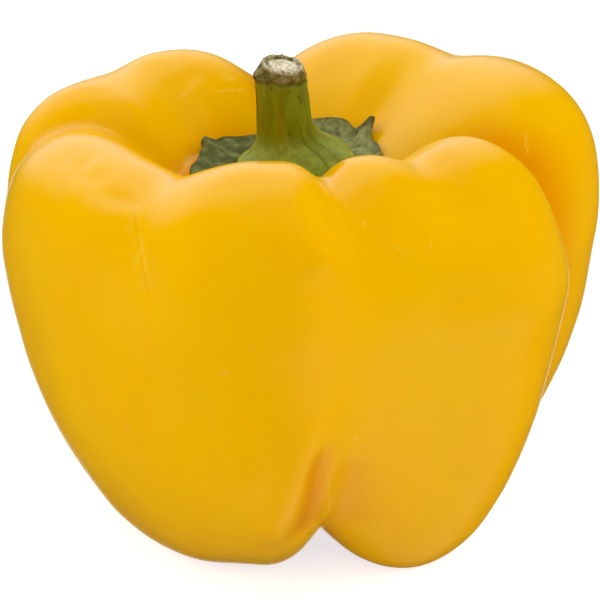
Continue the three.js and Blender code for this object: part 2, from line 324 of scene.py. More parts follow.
fruit = {
    "cupFloor": 56.5,
    "dimple": 10.0,
    "footFlat": 0.4,
    "ridges": [
        {"angle": 29, "reach": 56, "crest": 71.5, "swell": 0.5},
        {"angle": 59.5, "reach": 49.5, "crest": 72, "swell": 0.5},
        {"angle": 124, "reach": 46, "crest": 70.5, "swell": 0},
        {"angle": 151, "reach": 48.5, "crest": 69, "swell": 0},
        {"angle": 212, "reach": 41, "crest": 67.5, "swell": 1},
        {"angle": 271, "reach": 48.5, "crest": 73, "swell": 0},
        {"angle": 299, "reach": 42, "crest": 71, "swell": 0},
        {"angle": 337, "reach": 48, "crest": 70, "swell": -1.5},
    ],
    "feet": [
        {"angle": 38, "radius": 30.5},
        {"angle": 143, "radius": 25.5},
        {"angle": 236, "radius": 18.7},
        {"angle": 264, "radius": 15.8},
        {"angle": 323, "radius": 30},
    ],
    "clefts": [
        {"angle": -6, "top": 9, "side": 4, "foot": 8, "width": 5, "footWidth": 7},
        {"angle": 94, "top": 7, "side": 3.5, "foot": 8, "width": 3.5, "footWidth": 6},
        {"angle": 166, "top": 4.6, "side": 2.5, "foot": 14, "width": 4, "footWidth": 8},
        {"angle": 284.5, "top": 3, "side": 0.4, "foot": 8.5, "width": 6, "footWidth": 1.5},
    ],
    "folds": [
        {"angle": 44, "depth": 1.5, "run": 2, "width": 7},
        {"angle": 136, "depth": 0.7, "run": 2, "width": 9},
        {"angle": 239, "depth": 2, "run": 2, "width": 8},
        {"angle": 316, "depth": 1.6, "run": 1, "width": 9},
    ],
    "fullness": 2.6,
    "topShare": [0, 0, 0.05, 0.4, 0.9, 1, 0.8, 0.4, 0.12, 0, 0, 0, 0, 0, 0],
    "sideShare": [0, 0, 0, 0, 0, 0.05, 0.3, 0.7, 1, 1, 0.55, 0.1, 0, 0, 0],
    "footShare": [0, 0, 0, 0, 0, 0, 0, 0, 0.02, 0.2, 0.62, 1, 0.8, 0.2, 0],
    "crestLevel": 4,
    "shoulderLevel": 5,
    "rings": 230,
    "segments": 384,
    "dents": {"seed": 11, "wavelength": 21.0, "depth": 0.16},
    "fineDents": {"seed": 12, "wavelength": 8.0, "depth": 0.035},
    "wobbles": [
        {"seed": 13, "wavelength": 2.4, "depth": 0.1},
        {"seed": 14, "wavelength": 1.0, "depth": 0.05},
    ],
    "seam": [
        {"from": (231.8, 5.08), "to": (244.6, 6.56), "bow": -0.1, "width": 0.2, "strength": 0.4, "rise": -0.08},
    ],
    # pale streaks painted as highlights, some with a slight ridge under them
    "marks": [
        {"from": (199.5, 5.1), "to": (220, 5.32), "bow": 0.05, "width": 0.5, "strength": 0.5, "rise": 0.05},
        {"from": (134, 3.7), "to": (119, 3.85), "bow": -0.03, "width": 0.55, "strength": 0.55, "rise": 0.05},
        {"from": (117, 3.63), "to": (101.5, 3.8), "bow": -0.03, "width": 0.45, "strength": 0.7, "rise": 0.06},
        {"from": (290.6, 5.55), "to": (289.8, 5.7), "bow": 0, "width": 0.35, "strength": 0.6, "rise": 0},
        {"from": (293.8, 5.96), "to": (299.6, 6.2), "bow": 0.02, "width": 0.3, "strength": 0.4, "rise": 0},
        {"from": (306.2, 6.0), "to": (303.7, 6.27), "bow": 0, "width": 0.3, "strength": 0.55, "rise": 0},
        {"from": (302.3, 6.3), "to": (301.5, 6.46), "bow": 0, "width": 0.25, "strength": 0.5, "rise": 0},
        {"from": (4.7, 4.98), "to": (1, 5.26), "bow": 0, "width": 0.45, "strength": 0.6, "rise": 0.05},
        {"from": (239.3, 5.75), "to": (245.4, 6.5), "bow": 0, "width": 0.25, "strength": 0.5, "rise": 0},
        {"from": (279.4, 8.55), "to": (284, 9.6), "bow": 0, "width": 0.3, "strength": 0.35, "rise": 0},
    ],
    "lumps": [
        {"angle": 279, "level": 6.05, "across": 4.2, "down": 3.0, "rise": 1.3},
        {"angle": 228.5, "level": 5.27, "across": 4.2, "down": 1.3, "rise": -0.5},
        {"angle": 108, "level": 3.8, "across": 1.5, "down": 0.9, "rise": 0.25},
        {"angle": 252, "level": 5.5, "across": 2.5, "down": 4.0, "rise": 0.2},
        {"angle": 230, "level": 5.75, "across": 2.5, "down": 4.0, "rise": 0.2},
        {"angle": 297, "level": 6.2, "across": 5.0, "down": 6.0, "rise": -0.4},
        {"angle": 212, "level": 5.0, "across": 2.0, "down": 1.5, "rise": 0.25},
        {"angle": 280, "level": 4.75, "across": 2.4, "down": 1.6, "rise": 0.3},
    ],
    "swells": [
        {"from": (273, 5.65), "to": (281, 6.1), "bow": 0, "width": 3.0, "rise": 0.4},
        {"from": (293.5, 5.85), "to": (301, 6.3), "bow": 0, "width": 1.4, "rise": 0.25},
        {"from": (279, 8.2), "to": (267.5, 9.7), "bow": 0.03, "width": 2.2, "rise": 0.6},
        {"from": (237, 5.2), "to": (247.5, 6.9), "bow": 0, "width": 2.4, "rise": -0.45},
        {"from": (203, 5.0), "to": (222, 5.2), "bow": 0.03, "width": 1.3, "rise": -0.25},
        {"from": (200, 5.2), "to": (220, 5.5), "bow": 0.05, "width": 1.5, "rise": 0.15},
        {"from": (134, 3.8), "to": (119, 3.95), "bow": 0, "width": 1.5, "rise": -0.15},
    ],
    "footHollows": [
        {"from": (279.5, 8.5), "to": (277, 9.7), "bow": 0, "width": 2.6, "rise": -1.1},
        {"from": (286, 8.7), "to": (291, 9.8), "bow": 0, "width": 3.0, "rise": -0.4},
    ],
    "smoothHeights": (1.0, 6.0),
    "smoothRadii": (8.0, 20.0),
    # where the painted shade in the cup round the cap, and in the clefts, begins and is full
    "cupShadeRadii": (13.0, 20.0),
    "cleftShadeDepths": (2.5, 8.0),
    "colours": {
        "yellow": (0.83, 0.455, 0.0005, 1),
        "warm": (0.82, 0.405, 0.0005, 1),
        # painted shade: the deeper orange of the clefts, the foot hollows and the cup round the cap
        "paintedShade": (0.72, 0.265, 0.0003, 1),
        "pale": (0.90, 0.55, 0.09, 1),
        "brown": (0.20, 0.09, 0.01, 1),
        "rust": (0.42, 0.17, 0.006, 1),
    },
}


def valley(angles, groove, tops, width):
    # 1 in the bottom of a valley, 0 at the nearest of the given tops on either side
    off = turn(groove["angle"], angles)
    after = min((top["angle"] - groove["angle"]) % 360 for top in tops)
    before = min((groove["angle"] - top["angle"]) % 360 for top in tops)
    reach = np.where(off > 0, after, before)
    slope = (np.hypot(off, width) - width) / (np.hypot(reach, width) - width)
    return np.maximum(1 - slope, 0) ** fruit["fullness"]


def fruitSkin(angles, levels):
    # radius and height of the skin for each level (rows) and angle (columns), and how deep it is in a cleft
    reach = around(fruit["ridges"], "reach", angles)
    crest = around(fruit["ridges"], "crest", angles)
    swell = around(fruit["ridges"], "swell", angles)
    foot = around(fruit["feet"], "radius", angles)
    same = np.ones_like(angles)
    flat = fruit["footFlat"]
    radius = smoothCurve([
        0 * same, 7.5 * same, 13.5 * same, 0.35 * reach, 0.565 * reach, 0.793 * reach + 0.3 * swell,
        0.95 * reach + 0.7 * swell, reach, 0.98 * reach, 0.91 * reach, 0.335 * reach + 0.5 * foot + 5.5, foot,
        foot - 9.5, 5 * same, 0 * same], levels)
    floor = fruit["cupFloor"] * same
    height = smoothCurve([
        floor, floor + 0.4, floor + 1.8, crest - 10.5, crest - 2.5, crest - 2.5 + 0.5 * swell,
        crest - 10 + 0.7 * swell, crest - 22, crest - 31, 0.31 * crest, (5 - flat) * same, -flat * same,
        (2.2 - flat) * same, (fruit["dimple"] - 1.2) * same, fruit["dimple"] * same], levels)
    topCurve = smoothCurve(fruit["topShare"], levels)[:, None]
    sideCurve = smoothCurve(fruit["sideShare"], levels)[:, None]
    footCurve = smoothCurve(fruit["footShare"], levels)[:, None]
    depth = np.zeros_like(radius)
    for cleft in fruit["clefts"]:
        near = valley(angles, cleft, fruit["ridges"], cleft["width"])
        wide = valley(angles, cleft, fruit["feet"], cleft["footWidth"])
        depth += (cleft["top"] * topCurve + cleft["side"] * sideCurve) * near
        depth += cleft["foot"] * footCurve * wide
    opening = np.where(levels < fruit["crestLevel"] + 1, topCurve[:, 0], 1)
    for fold in fruit["folds"]:
        start = fruit["shoulderLevel"] + 0.4 * fold["run"]
        stop = fruit["shoulderLevel"] + 1.6 * fold["run"]
        share = opening * (1 - smoothStep(levels, start, stop))
        depth += fold["depth"] * share[:, None] * valley(angles, fold, fruit["ridges"], fold["width"])
    outR = radius - 0.45 * reach
    outZ = height - 0.5 * crest
    length = np.hypot(outR, outZ)
    radius = np.maximum(radius - outR / length * depth, 0)
    height = np.maximum(height - outZ / length * depth, 0)
    return radius, height, depth


def skinPoint(angle, level):
    radius, height, _ = fruitSkin(np.array([float(angle)]), np.array([float(level)]))
    return polar(0, 0, radius, np.array([float(angle)]), height)[0, 0]


def offLine(points, outward, line):
    # signed distance of each point of the skin from a line on it, in millimetres, and the share run along it
    steps = np.linspace(0, 1, 13)
    angles = line["from"][0] + steps * turn(line["from"][0], line["to"][0])
    levels = line["from"][1] + steps * (line["to"][1] - line["from"][1]) + line["bow"] * np.sin(math.pi * steps)
    corners = [skinPoint(angle, level) for angle, level in zip(angles, levels)]
    gap = np.full(points.shape[:-1], 99.0)
    share = np.zeros_like(gap)
    for i, (start, stop) in enumerate(zip(corners[:-1], corners[1:])):
        run = stop - start
        gone = np.clip((points - start) @ run / (run @ run), 0, 1)
        away = points - start - gone[..., None] * run
        length = np.linalg.norm(away, axis=-1)
        nearer = length < np.abs(gap)
        side = np.where((np.cross(run, points - start) * outward).sum(axis=-1) < 0, -1, 1)
        gap = np.where(nearer, side * length, gap)
        share = np.where(nearer, (i + gone) / (len(steps) - 1), share)
    return gap, share


def swellHeights(points, outward, swells):
    # long low ridges and hollows that fade towards their ends
    total = np.zeros(points.shape[:-1])
    for swell in swells:
        gap, share = offLine(points, outward, swell)
        ends = smoothStep(share, 0, 0.3) * (1 - smoothStep(share, 0.75, 1))
        total += swell["rise"] * ends * np.exp(-(gap / swell["width"]) ** 2)
    return total


def lineMasks(points, outward, lines):
    # for the shader: distance over width and how strong the nearest line is; for the mesh: how far it rises
    off = np.full(points.shape[:-1], 9.0)
    keep = np.zeros_like(off)
    rise = np.zeros_like(off)
    wobble = sum(uneven(points, kind) for kind in fruit["wobbles"])
    for line in lines:
        gap, share = offLine(points, outward, line)
        gap = gap + wobble * (np.abs(gap) < 3)
        ends = smoothStep(share, 0, 0.12) * (1 - smoothStep(share, 0.88, 1))
        near = (np.abs(gap) < 2.2) & (np.abs(gap / line["width"]) < np.abs(off))
        off = np.where(near, gap / line["width"], off)
        keep = np.where(near, line["strength"] * ends, keep)
        rise = np.where(near, line["rise"] * ends * np.exp(-(gap / max(line["width"], 0.5)) ** 2), rise)
    return off, keep, rise


def lumpHeights(points, lumps):
    total = np.zeros(points.shape[:-1])
    for lump in lumps:
        middle = skinPoint(lump["angle"], lump["level"])
        turned = math.radians(lump["angle"])
        sideways = np.array([-math.sin(turned), math.cos(turned), 0])
        away = points - middle
        across = away @ sideways
        rest = np.linalg.norm(away - across[..., None] * sideways, axis=-1)
        total += lump["rise"] * np.exp(-(across / lump["across"]) ** 2 - (rest / lump["down"]) ** 2)
    return total


def makeFruit():
    segments = fruit["segments"]
    rings = fruit["rings"]
    angles = np.arange(segments) * 360 / segments
    lastLevel = len(fruit["topShare"]) - 1
    levels = lastLevel * (1 - np.arange(rings + 1) / rings)
    radius, height, depth = fruitSkin(angles, levels)
    radius[0] = radius[-1] = 0
    points = polar(0, 0, radius, angles[None, :] + 0 * radius, height)
    outward = skinNormals(points)
    seamOff, seamKeep, seamRise = lineMasks(points, outward, fruit["seam"])
    markOff, markKeep, markRise = lineMasks(points, outward, fruit["marks"])
    push = uneven(points, fruit["dents"]) + uneven(points, fruit["fineDents"])
    push += seamRise + markRise + lumpHeights(points, fruit["lumps"])
    push += swellHeights(points, outward, fruit["swells"] + fruit["footHollows"])
    # the flats and the cup's floor keep the solid's form
    push *= smoothStep(height, *fruit["smoothHeights"]) * smoothStep(radius, *fruit["smoothRadii"])
    points = points + outward * push[..., None]
    points[..., 2] = np.maximum(points[..., 2], 0)
    # painted shade: the cup's floor round the cap, the clefts and the foot hollows are marked for a deeper orange
    cupShade = (1 - smoothStep(radius, *fruit["cupShadeRadii"])) * (height > 0.7 * fruit["cupFloor"])
    hollowShade = -swellHeights(points, outward, fruit["footHollows"])
    masks = {"cleft": np.clip(smoothStep(depth, *fruit["cleftShadeDepths"]) + hollowShade, 0, 1), "cupShade": cupShade,
             "seamOff": seamOff, "seamKeep": seamKeep, "markOff": markOff, "markKeep": markKeep}
    return ringPiece("pepperFruit", points, masks, "fruit", skinMaterial())


def skinMaterial():
    look = fruit["colours"]
    material, tree, shader = newMaterial("pepper skin", {
        "Roughness": 0.2, "IOR": 1.4, "Subsurface Weight": 0.1,
        "Subsurface Radius": (1.0, 0.45, 0.08), "Subsurface Scale": 0.004})
    tone = twoTones(tree, look["yellow"], look["warm"], 80.0, 0.3, amount=0.8, stretch=(1, 1, 0.3))
    # pale flakes of skin along the seam, the dry dark seam itself and pale streaks painted as highlights
    beside = ramp(tree, work(tree, "ABSOLUTE", maskOf(tree, "seamOff")), 9.0, 2.0)
    flakes = times(tree, beside, maskOf(tree, "seamKeep"), patches(tree, 900.0, 0.06, (1, 1, 0.3)))
    seam = times(tree, lineOf(tree, "seam", 0.0), patches(tree, 320.0, 0.12))
    paintedGlints = times(tree, lineOf(tree, "mark"), patches(tree, 1400.0, 0.25))
    # the deeper orange in the clefts, the foot hollows and the cup is painted shade
    colour = tint(tree, tone["Color"], look, [
        ("cleft", "paintedShade", 0.95), ("cupShade", "paintedShade", 0.8), (speckled(tree, 260.0, 0.16, 0.12), "pale", 0.35),
        (speckled(tree, 75.0, 0.05, 0.1), "brown", 0.6), (flakes, "pale", 0.4), (seam, "rust", 0.65),
        (paintedGlints, "pale", 0.9)])
    skin = placeGroup(tree, grain, {"Coarse per metre": 260.0, "Fine per metre": 1300.0, "Fine share": 0.4})
    finishSurface(tree, shader, colour, patches(tree, 60.0, 0.3), (0.14, 0.24), skin["Height"], 0.25, 0.0002)
    return material


makeFruit()


# Leafy cap: a thin toothed leaf that lies on the floor of the cup, veined and curled at its edge

cap = {
    "x": 2.0,
    "y": 1.0,
    "radius": 14.8,
    "lift": 0.3,
    "edgeLift": 0.45,
    "thickness": 1.1,
    "edgeThickness": 0.6,
    "teeth": [
        {"angle": 40, "tip": 1},
        {"angle": 93, "tip": 0.8},
        {"angle": 146, "tip": 0.6},
        {"angle": 195, "tip": 0.1},
        {"angle": 247, "tip": 0.8},
        {"angle": 299, "tip": 0.7},
        {"angle": 351, "tip": 0.3},
    ],
    "toothSwell": 1.0,
    "toothHalfAngle": 26,
    "tipLength": 2.0,
    "tipHalfAngle": 8,
    "tipRise": 0.75,
    "segments": 420,
    "ragged": {"seed": 33, "wavelength": 1.6, "depth": 0.1},
    "quiet": {"seed": 36, "wavelength": 9.0},
    "outline": {"seed": 35, "wavelength": 7.0, "depth": 0.3},
    "outlineRadius": 14.0,
    "wrinkles": {"seed": 31, "wavelength": 3.2, "depth": 0.17},
    "creases": {"seed": 34, "wavelength": 1.2, "depth": 0.05},
    "waves": {"seed": 32, "wavelength": 9.0, "depth": 0.34},
    "vein": {"halfWidth": 0.35, "rise": 0.18},
    "palerAngle": 30,
    "colours": {
        "green": (0.09, 0.105, 0.024, 1),
        "grey": (0.155, 0.17, 0.07, 1),
        "dark": (0.03, 0.036, 0.009, 1),
        "light": (0.30, 0.32, 0.14, 1),
        "brown": (0.085, 0.045, 0.018, 1),
    },
}


def cupHeight(x, y):
    # height of the cup's surface under points in the plant's frame, from a table of half degrees and quarter mm
    perDegree, perMm, reach = 2, 4, 24
    count = 360 * perDegree
    levels = np.linspace(0, fruit["crestLevel"], 120)
    radius, height, _ = fruitSkin(np.arange(count) / perDegree, levels)
    wanted = np.linspace(0, reach, reach * perMm + 1)
    grid = np.stack([np.interp(wanted, radius[:, i], height[:, i]) for i in range(count)])
    row = np.degrees(np.arctan2(y, x)) % 360 * perDegree
    column = np.clip(np.hypot(x, y) * perMm, 0, reach * perMm - 0.001)
    rowStart, columnStart = np.floor(row).astype(int) % count, np.floor(column).astype(int)
    rowShare, columnShare = row - np.floor(row), column - columnStart
    rowStop = (rowStart + 1) % count
    near = grid[rowStart, columnStart] * (1 - columnShare) + grid[rowStart, columnStart + 1] * columnShare
    far = grid[rowStop, columnStart] * (1 - columnShare) + grid[rowStop, columnStart + 1] * columnShare
    return near * (1 - rowShare) + far * rowShare


def makeCap():
    segments = cap["segments"]
    angles = np.arange(segments) * 360 / segments
    offs = np.stack([np.abs(turn(tooth["angle"], angles)) for tooth in cap["teeth"]])
    off = offs.min(axis=0)
    tip = np.array([tooth["tip"] for tooth in cap["teeth"]])[offs.argmin(axis=0)]
    # a dried tip is blunt, with a notch in it
    tip = tip * np.clip(1.3 * (1 - off / cap["tipHalfAngle"]), 0, 1) ** 1.6
    body = np.cos(math.pi / 2 * np.minimum(off / cap["toothHalfAngle"], 1)) ** 2
    edge = cap["radius"] + cap["toothSwell"] * body + cap["tipLength"] * tip
    ragged, quiet = cap["ragged"], cap["quiet"]
    rimPoints = polar(0, 0, cap["outlineRadius"] + 0 * angles, angles, 0.0)
    tear = ripples(rimPoints, ragged["seed"], ragged["wavelength"])
    tear = tear * smoothStep(ripples(rimPoints, quiet["seed"], quiet["wavelength"]), -0.6, 0.8)
    edge = edge + ragged["depth"] * tear * (1 + 3 * tip) + uneven(rimPoints, cap["outline"])
    # shares of the way out to the edge: out along the underside, back in over the top
    underside = np.concatenate([np.linspace(0, 0.9, 10), [0.95, 0.985]])
    topside = np.concatenate([[1.0], 1 - 0.5 * np.linspace(0, 1, 26)[1:] ** 1.3, np.linspace(0.47, 0, 14)])
    shares = np.concatenate([underside, topside])[:, None]
    onTop = (np.arange(len(shares)) >= len(underside))[:, None]
    radius = shares * edge[None, :]
    points = polar(cap["x"], cap["y"], radius, angles[None, :] + 0 * radius, 0 * radius)
    floor = cupHeight(points[..., 0], points[..., 1])
    thick = cap["thickness"] + (cap["edgeThickness"] - cap["thickness"]) * shares ** 4
    thick = np.where(shares == 1, 0.5, 1) * thick * onTop
    curl = cap["edgeLift"] * shares ** 4 + cap["tipRise"] * tip[None, :] * np.clip(5 * shares - 4, 0, 1)
    flatPoints = points.copy()
    curl = curl + uneven(flatPoints, cap["waves"]) * shares ** 3
    curl = curl + 0.25 * tip[None, :] * tear[None, :] * shares ** 8
    curl = np.maximum(curl, -0.2)
    toVein = np.abs(off)[None, :] * math.pi / 180 * radius
    vein = np.exp(-(toVein / cap["vein"]["halfWidth"]) ** 2) * smoothStep(shares, 0.3, 0.5)
    rough = uneven(flatPoints, cap["wrinkles"]) + uneven(flatPoints, cap["creases"])
    relief = onTop * (rough + cap["vein"]["rise"] * vein) * smoothStep(shares, 0.35, 0.6)
    relief = relief * (1 - 0.6 * smoothStep(shares, 0.88, 1))
    points[..., 2] = floor + cap["lift"] + thick + curl + relief
    points[0] = points[0].mean(axis=0)
    points[-1] = points[-1].mean(axis=0)
    everywhere = np.ones_like(radius)
    deepest = cap["wrinkles"]["depth"]
    # the wrinkles' hollows get painted shade and their raised parts painted light
    masks = {"rim": smoothStep(shares, 0.95, 1.0) * everywhere, "vein": vein * onTop,
             "paler": smoothStep(np.cos(np.radians(angles - cap["palerAngle"])), 0.2, 0.9) * everywhere,
             "hollowShade": onTop * smoothStep(-rough, 0.0, deepest),
             "raisedLight": onTop * smoothStep(rough, 0.05, 1.3 * deepest),
             "tip": tip * smoothStep(shares, 0.85, 1.0)}
    return ringPiece("pepperCap", points, masks, "calyx", capMaterial())


def capMaterial():
    look = cap["colours"]
    material, tree, shader = newMaterial("pepper cap leaf", {
        "Roughness": 0.65, "IOR": 1.4, "Specular IOR Level": 0.3,
        "Subsurface Weight": 0.05, "Subsurface Scale": 0.001})
    tone = twoTones(tree, look["green"], look["grey"], 520.0, 0.08)
    frayed = times(tree, maskOf(tree, "rim"), patches(tree, 800.0, 0.2))
    # painted light on the raised wrinkles and painted shade in their hollows, over the leaf's own mottle
    colour = tint(tree, tone["Color"], look, [
        ("paler", "light", 0.9), ("raisedLight", "light", 0.45), ("hollowShade", "dark", 0.4),
        (patches(tree, 900.0, 0.12), "dark", 0.45), ("vein", "light", 0.4),
        (speckled(tree, 700.0, 0.4, 0.35), "dark", 0.9), (frayed, "brown", 0.9), ("tip", "brown", 0.7)])
    leaf = placeGroup(tree, grain, {"Coarse per metre": 700.0, "Fine per metre": 2600.0, "Fine share": 0.4})
    finishSurface(tree, shader, colour, tone["Patches"], (0.55, 0.8), leaf["Height"], 0.7, 0.0003)
    return material


makeCap()


# Stalk: ribbed and flared at its foot, cut off at the top, with a dry collar round a pale pith

stalk = {
    "sections": [
        {"height": 60.9, "x": 3.4, "y": -0.8, "radius": 9.2},
        {"height": 62.1, "x": 3.9, "y": -0.6, "radius": 8},
        {"height": 63.4, "x": 3.3, "y": -0.3, "radius": 6.5},
        {"height": 65, "x": 2, "y": 0, "radius": 4.9},
        {"height": 67.5, "x": 1.3, "y": 0, "radius": 4.35},
        {"height": 70.5, "x": 1, "y": 0, "radius": 4.25},
        {"height": 73.7, "x": 0.75, "y": 0, "radius": 4.15},
    ],
    "footRadius": 9.4,
    "cut": [
        {"height": 73.95, "radius": 4.15},
        {"height": 74.3, "radius": 4.05},
        {"height": 74.85, "radius": 3.78},
        {"height": 75.4, "radius": 3.5},
        {"height": 75.9, "radius": 3.3},
        {"height": 76.22, "radius": 3.12},
        {"height": 76.36, "radius": 2.88},
        {"height": 76.28, "radius": 2.66},
        {"height": 76.02, "radius": 2.46},
        {"height": 76.04, "radius": 2.2},
        {"height": 76.18, "radius": 1.8},
        {"height": 76.2, "radius": 1.0},
        {"height": 76.2, "radius": 0},
    ],
    "collar": {"height": 73.95, "fallRight": 0.03, "riseFront": 0.07, "ring": 0.32, "swell": 0.14},
    "rimRadius": 2.9,
    "pithRadius": 2.4,
    "cutShift": 0.28,
    "greenStrip": {"angle": 3, "reach": 22},
    "blemishes": [
        {"angle": 200, "height": 74.45, "across": 0.55, "up": 0.42, "rise": 0.42, "dark": 0.95},
        {"angle": 197, "height": 69.9, "across": 0.3, "up": 2.8, "rise": -0.06, "dark": 0.9},
        {"angle": 249, "height": 73.6, "across": 0.25, "up": 0.3, "rise": 0, "dark": 0.8},
        {"angle": 262, "height": 72.6, "across": 0.16, "up": 0.35, "rise": 0, "dark": 0.6},
        {"angle": 307, "height": 72.4, "across": 0.3, "up": 0.15, "rise": 0.1, "dark": 0.5},
        {"angle": 311, "height": 72.0, "across": 0.2, "up": 0.3, "rise": 0.16, "dark": 0.85},
        {"angle": 314, "height": 71.5, "across": 0.2, "up": 0.3, "rise": 0.16, "dark": 0.9},
        {"angle": 313, "height": 71.0, "across": 0.3, "up": 0.18, "rise": 0.12, "dark": 0.8},
        {"angle": 322, "height": 72.6, "across": 0.12, "up": 0.5, "rise": 0, "dark": 0.5},
        {"angle": 279, "height": 66.4, "across": 0.5, "up": 0.35, "rise": 0, "dark": 0.5},
        {"angle": 215, "height": 67.5, "across": 0.5, "up": 1.6, "rise": 0, "dark": 0.35},
    ],
    "creases": [
        {"angle": 300, "width": 2.0, "depth": 0.14},
        {"angle": 321, "width": 2.4, "depth": 0.16},
        {"angle": 243, "width": 2.5, "depth": 0.08},
    ],
    "fallStart": 70,
    "fallRight": 0.13,
    "fallFront": 0.14,
    "ribs": 5,
    "ribAngle": 41,
    "ribDepth": 0.03,
    "fibres": [{"count": 17, "depth": 0.016}, {"count": 29, "depth": 0.012}, {"count": 43, "depth": 0.006}],
    "segments": 240,
    "bodySteps": 100,
    "cutSteps": 76,
    "footGap": 0.15,
    "ripples": {
        "coarse": {"seed": 41, "wavelength": 1.5, "depth": 0.1},
        "fine": {"seed": 42, "wavelength": 0.7, "depth": 0.07},
        "bend": {"seed": 43, "wavelength": 9.0, "depth": 0.1},
        "border": {"seed": 44, "wavelength": 2.2, "depth": 0.1},
        "strip": {"seed": 45, "wavelength": 1.2, "depth": 0.03},
        "pith": {"seed": 46, "wavelength": 1.1, "depth": 0.22},
        "blemish": {"seed": 47, "wavelength": 0.8, "depth": 0.25},
        "crease": {"seed": 48, "wavelength": 4.0, "depth": 1.5},
        "ring": {"seed": 49, "wavelength": 1.4, "depth": 0.25},
    },
    "colours": {
        "green": (0.14, 0.165, 0.010, 1),
        "olive": (0.18, 0.155, 0.010, 1),
        "ochre": (0.24, 0.20, 0.013, 1),
        "fresh": (0.19, 0.235, 0.02, 1),
        "foot": (0.26, 0.31, 0.045, 1),
        "dark": (0.035, 0.035, 0.006, 1),
        "pale": (0.84, 0.78, 0.66, 1),
        "tan": (0.22, 0.165, 0.06, 1),
        "crust": (0.085, 0.062, 0.018, 1),
        "brown": (0.075, 0.04, 0.015, 1),
        # moss green of the ring round the pith, also the painted shade in the foot's creases
        "mossAndShade": (0.10, 0.11, 0.02, 1),
    },
}


